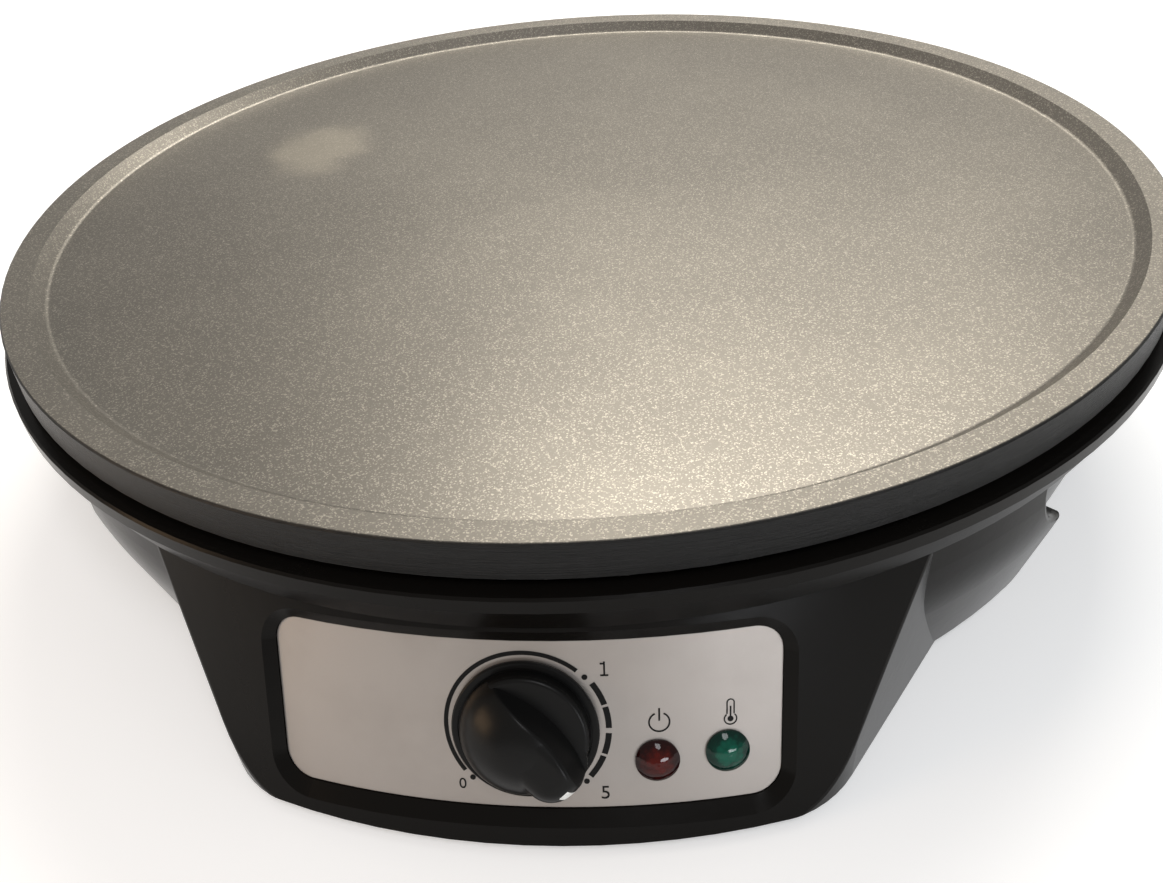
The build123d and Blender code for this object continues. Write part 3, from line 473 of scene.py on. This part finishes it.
def layOnPanel(piece):
    # flat marks drop straight onto the curved panel and get a hair of thickness
    piece.matrix_world = panelPlace(panelShape["dialAcross"], panelShape["dialHeight"])
    drop = piece.modifiers.new("drop", "SHRINKWRAP")
    drop.target = parts["fascia"]
    drop.wrap_method = "PROJECT"
    drop.use_project_z = True
    drop.use_negative_direction = True
    drop.use_positive_direction = True
    drop.offset = printLook["lift"]
    applyModifier(piece, drop)
    ink = piece.modifiers.new("ink", "SOLIDIFY")
    ink.thickness = printLook["thickness"]
    ink.offset = 1.0
    applyModifier(piece, ink)
    applyPlace(piece)


def makeInk():
    look = printLook
    material, tree, shader = newMaterial("panelInk", {"Specular IOR Level": look["gloss"]})
    wear = noise(tree, *look["wearNoise"], objectPoint(tree))
    setColor(tree, shader, smoothStep(tree, wear, *look["wearRange"]), look["color"], look["worn"])
    setRoughness(tree, shader, look["roughness"], wear, look["wearRoughness"])
    addBump(tree, shader, wear, *look["wearBump"])
    return material


def buildPrint():
    look = printLook
    steps = look["ringSteps"]
    ends = (look["ringFrom"], look["ringTo"])
    marks = [flatRing((0, 0), look["ringInner"], look["ringOuter"], *ends, steps)]
    half = look["dashSpan"] / 2
    for middle in look["dashMiddles"]:
        ends = (middle - half, middle + half)
        marks.append(flatRing((0, 0), look["dashInner"], look["dashOuter"], *ends, steps))
    for dot in look["dots"]:
        marks.append(flatDot(dot, look["dotRadius"]))
    for text, centre, size in look["numbers"]:
        marks.append(flatNumber(text, centre, size))
    one = look["one"]
    x, y = one["centre"]
    flagLength, flagDrop = one["flag"]
    marks.append(flatBar((x, y), one["line"], one["height"]))
    marks.append(flatBar((x, y - one["height"] / 2), one["foot"], one["line"]))
    flagPlace = (x - flagLength / 2, y + one["height"] / 2 - flagDrop)
    marks.append(flatBar(flagPlace, flagLength, one["line"]))
    power = look["powerSign"]
    x, y = power["centre"]
    ends = (90 + power["opening"], 450 - power["opening"])
    marks.append(flatRing((x, y), power["inner"], power["outer"], *ends, look["signSteps"]))
    low, high = power["stem"]
    marks.append(flatBar((x, y + (low + high) / 2), power["line"], high - low))
    heat = look["heatSign"]
    x, y = heat["bulb"]
    line = heat["outer"] - heat["inner"]
    half = heat["tube"]
    lift = math.sqrt(heat["outer"] ** 2 - half ** 2)
    opening = math.degrees(math.asin(half / heat["outer"]))
    ends = (90 + opening, 450 - opening)
    marks.append(flatRing((x, y), heat["inner"], heat["outer"], *ends, look["signSteps"]))
    marks.append(flatRing((x, y + heat["top"]), half - line, half, 0, 180, look["capSteps"]))
    wallMiddle = y + (lift + heat["top"]) / 2
    for side in (-1, 1):
        marks.append(flatBar((x + side * (half - line / 2), wallMiddle), line, heat["top"] - lift))
    marks.append(flatDot((x, y), heat["drop"]))
    column = (line * heat["columnWidth"], heat["top"] * heat["columnHeight"])
    marks.append(flatBar((x, y + heat["top"] * heat["columnMiddle"]), *column))
    return joinPieces(marks, "panelPrint")


panelPrint = buildPrint()
layOnPanel(panelPrint)
panelPrint.data.materials.clear()
panelPrint.data.materials.append(makeInk())
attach(panelPrint, "base")
print("panel print laid:", len(panelPrint.data.vertices), "points")


# simple finishes of the inner parts

finishes = {
    "zincSteel": {
        "color": (0.55, 0.55, 0.54, 1), "worn": (0.38, 0.37, 0.35, 1),
        "metal": 1.0, "rough": 0.32, "scale": 300.0},
    "shieldSteel": {
        "color": (0.56, 0.56, 0.55, 1), "worn": (0.42, 0.40, 0.37, 1),
        "metal": 1.0, "rough": 0.28, "scale": 60.0},
    "heaterSheath": {
        "color": (0.20, 0.18, 0.16, 1), "worn": (0.09, 0.08, 0.08, 1),
        "metal": 1.0, "rough": 0.45, "scale": 120.0},
    "copper": {
        "color": (0.72, 0.38, 0.24, 1), "worn": (0.42, 0.22, 0.14, 1),
        "metal": 1.0, "rough": 0.3, "scale": 400.0},
    "brassFinish": {
        "color": (0.70, 0.52, 0.25, 1), "worn": (0.48, 0.36, 0.18, 1),
        "metal": 1.0, "rough": 0.3, "scale": 400.0},
    "phenolic": {
        "color": (0.12, 0.06, 0.035, 1), "worn": (0.08, 0.045, 0.03, 1),
        "metal": 0.0, "rough": 0.45, "scale": 500.0},
    "firedCeramic": {
        "color": (0.78, 0.75, 0.68, 1), "worn": (0.62, 0.58, 0.50, 1),
        "metal": 0.0, "rough": 0.6, "scale": 700.0},
    "sleeve": {
        "color": (0.74, 0.72, 0.64, 1), "worn": (0.55, 0.52, 0.44, 1),
        "metal": 0.0, "rough": 0.8, "scale": 900.0},
    "brownSilicone": {
        "color": (0.20, 0.09, 0.04, 1), "worn": (0.14, 0.07, 0.035, 1),
        "metal": 0.0, "rough": 0.5, "scale": 500.0},
    "whiteSilicone": {
        "color": (0.76, 0.76, 0.73, 1), "worn": (0.62, 0.61, 0.57, 1),
        "metal": 0.0, "rough": 0.5, "scale": 500.0},
    "blueSilicone": {
        "color": (0.05, 0.11, 0.38, 1), "worn": (0.04, 0.08, 0.26, 1),
        "metal": 0.0, "rough": 0.5, "scale": 500.0},
    "greenSilicone": {
        "color": (0.10, 0.32, 0.07, 1), "worn": (0.45, 0.42, 0.06, 1),
        "metal": 0.0, "rough": 0.5, "scale": 500.0},
    "pointerWhite": {
        "color": (0.86, 0.86, 0.83, 1), "worn": (0.70, 0.69, 0.66, 1),
        "metal": 0.0, "rough": 0.4, "scale": 900.0},
}
finishWear = {
    "noiseDetail": (4.0, 0.6), "wearRange": (0.45, 0.75),
    "roughnessDrop": 0.08, "wearRoughness": 0.2, "bump": (0.15, 0.0001),
}


def makeFinish(name):
    look, wear = finishes[name], finishWear
    material, tree, shader = newMaterial(name, {"Metallic": look["metal"]})
    point = objectPoint(tree)
    patch = noise(tree, look["scale"], *wear["noiseDetail"], point)
    setColor(tree, shader, smoothStep(tree, patch, *wear["wearRange"]), look["color"], look["worn"])
    setRoughness(tree, shader, look["rough"] - wear["roughnessDrop"], patch, wear["wearRoughness"])
    addBump(tree, shader, patch, *wear["bump"])
    return material


finishOf = {
    "zincSteel": [
        "knob_spring", "thermostat_shaft", "thermostat_flange", "thermostat_screws", "bulb_clip",
        "bulb_clip_screw", "element_terminals", "element_clips", "element_clip_screws",
        "plate_screws", "fuse_strap", "fuse_strap_screw", "lamp_collars", "cover_screws",
        "terminal_block_screw",
    ],
    "shieldSteel": ["heat_shield"],
    "heaterSheath": ["heating_element"],
    "copper": ["capillary_tube", "sensing_bulb"],
    "brassFinish": ["thermostat_terminals", "earth_screw", "terminal_clamps"],
    "phenolic": ["thermostat_body"],
    "firedCeramic": ["element_insulators", "spacer_washers", "terminal_block"],
    "sleeve": ["thermal_fuse"],
    "brownSilicone": ["live_wire"],
    "whiteSilicone": ["heater_wire", "lamp_wires"],
    "blueSilicone": ["fuse_wires"],
    "greenSilicone": ["earth_wire"],
    "pointerWhite": ["knob_pointer"],
}
for finish, names in finishOf.items():
    material = makeFinish(finish)
    for name in names:
        paint(name, material)
print("inner parts dressed")


# lamp lenses, with painted shade darkening each lens towards its edge

lensLook = {
    "power_lens": {
        "across": 0.0259, "color": (0.100, 0.007, 0.004, 1), "rim": (0.018, 0.0015, 0.0015, 1)},
    "ready_lens": {
        "across": 0.0392, "color": (0.003, 0.115, 0.072, 1), "rim": (0.001, 0.026, 0.018, 1)},
}
lensPlastic = {
    "Roughness": 0.05, "IOR": 1.38, "Transmission Weight": 0.30, "Specular IOR Level": 0.30,
}
lensFacets = {
    "scale": 800.0, "wander": 0.0012, "rimRange": (0.0028, 0.0045), "bump": (0.20, 0.0002),
}


def makeLens(name, look):
    material, tree, shader = newMaterial(name + "Plastic", lensPlastic)
    point = objectPoint(tree)
    centre = panelPlace(look["across"], panelShape["lampHeight"]).translation
    away = addNode(tree, "ShaderNodeVectorMath", {"operation": "DISTANCE"})
    tree.links.new(point, away.inputs[0])
    away.inputs[1].default_value = centre
    facets = voronoi(tree, lensFacets["scale"], point)["Distance"]
    wander = mathNode(tree, "MULTIPLY", facets, lensFacets["wander"])
    ragged = mathNode(tree, "ADD", away.outputs["Value"], wander)
    # painted shade: the lens colour turns darker from its middle out to its edge
    rim = smoothStep(tree, ragged, *lensFacets["rimRange"])
    setColor(tree, shader, rim, look["color"], look["rim"])
    addBump(tree, shader, facets, *lensFacets["bump"])
    return material


for name, look in lensLook.items():
    paint(name, makeLens(name, look))
neonLook = {"Base Color": (0.9, 0.6, 0.45, 1), "Roughness": 0.1, "Transmission Weight": 0.8}
neonGlass, neonTree, neonShader = newMaterial("neonGlass", neonLook)
addBump(neonTree, neonShader, noise(neonTree, 500.0), 0.1, 0.0001)
paint("neon_lamps", neonGlass)
print("lamps dressed")


# floor, light and camera

studio = {
    "floorHeight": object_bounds()[0][2],
    "floorSize": 12.0,
    "floorColor": (0.85, 0.86, 0.87, 1),
    "worldColor": (1.0, 0.98, 0.95, 1),
    "worldStrength": 0.42,
    "floorGlow": 0.40,
    "floorRoughness": 0.9,
    "floorNoise": 60.0,
    "floorBump": (0.02, 0.001),
    "clipStart": 0.01,
    "cameraPlace": (0.03446, -0.28902, 0.12841),
    "cameraTurn": (52.7538, 3.7137, 5.0462),
    "lens": 34.05,
    "shift": (-0.00086, 0.0073),
}
clearSelection()
bpy.ops.mesh.primitive_plane_add(size=studio["floorSize"], location=(0, 0, studio["floorHeight"]))
floor = bpy.context.object
floor.name = "floor"
applyPlace(floor)
floorMaterial, floorTree, floorShader = newMaterial("paleFloor", {
    "Base Color": studio["floorColor"],
    "Roughness": studio["floorRoughness"],
    "Emission Color": studio["floorColor"]})
addBump(floorTree, floorShader, noise(floorTree, studio["floorNoise"]), *studio["floorBump"])


def seenDirectly(tree):
    rays = addNode(tree, "ShaderNodeLightPath").outputs
    mirrored = mathNode(tree, "ADD", rays["Is Glossy Ray"], rays["Is Transmission Ray"])
    return mathNode(tree, "ADD", rays["Is Camera Ray"], mirrored)


floorGlow = mathNode(floorTree, "MULTIPLY", seenDirectly(floorTree), studio["floorGlow"])
floorTree.links.new(floorGlow, floorShader.inputs["Emission Strength"])
floor.data.materials.append(floorMaterial)

world = bpy.data.worlds.new("studioWorld")
bpy.context.scene.world = world
world.use_nodes = True
background = world.node_tree.nodes["Background"]
background.inputs["Color"].default_value = studio["worldColor"]
background.inputs["Strength"].default_value = studio["worldStrength"]

lamps = {
    "backSoftbox": {
        "place": (0.13, 0.84, 1.02), "aim": (0, 0, 0), "size": (0.85, 0.40),
        "power": 13.0, "color": (1.0, 0.96, 0.88)},
    "leftSoftbox": {
        "place": (-0.62, -0.36, 0.14), "aim": (0, 0, -0.02), "size": (0.34, 0.26),
        "power": 1.5, "color": (1.0, 0.66, 0.38)},
    "rightSoftbox": {
        "place": (0.30, -0.80, 1.10), "aim": (0, 0, 0), "size": (0.4, 0.4),
        "power": 4.8, "color": (0.98, 0.98, 1.0)},
    "lowSoftbox": {
        "place": (0.50, -0.86, 0.05), "aim": (0, 0, -0.02), "size": (0.30, 0.10),
        "power": 1.6, "color": (0.92, 0.95, 1.0)},
}
for lampName, lamp in lamps.items():
    light = bpy.data.lights.new(lampName, "AREA")
    light.shape = "RECTANGLE"
    light.size, light.size_y = lamp["size"]
    light.energy = lamp["power"]
    light.color = lamp["color"]
    stand = bpy.data.objects.new(lampName, light)
    bpy.context.collection.objects.link(stand)
    stand.location = lamp["place"]
    sight = Vector(lamp["aim"]) - Vector(lamp["place"])
    stand.rotation_euler = sight.to_track_quat("-Z", "Y").to_euler()

cameraData = bpy.data.cameras.new("camera")
camera = bpy.data.objects.new("camera", cameraData)
bpy.context.collection.objects.link(camera)
camera.location = studio["cameraPlace"]
camera.rotation_euler = [math.radians(angle) for angle in studio["cameraTurn"]]
cameraData.lens = studio["lens"]
cameraData.shift_x, cameraData.shift_y = studio["shift"]
cameraData.clip_start = studio["clipStart"]
bpy.context.scene.camera = camera
bpy.context.scene.view_settings.view_transform = "Standard"
print("studio ready")
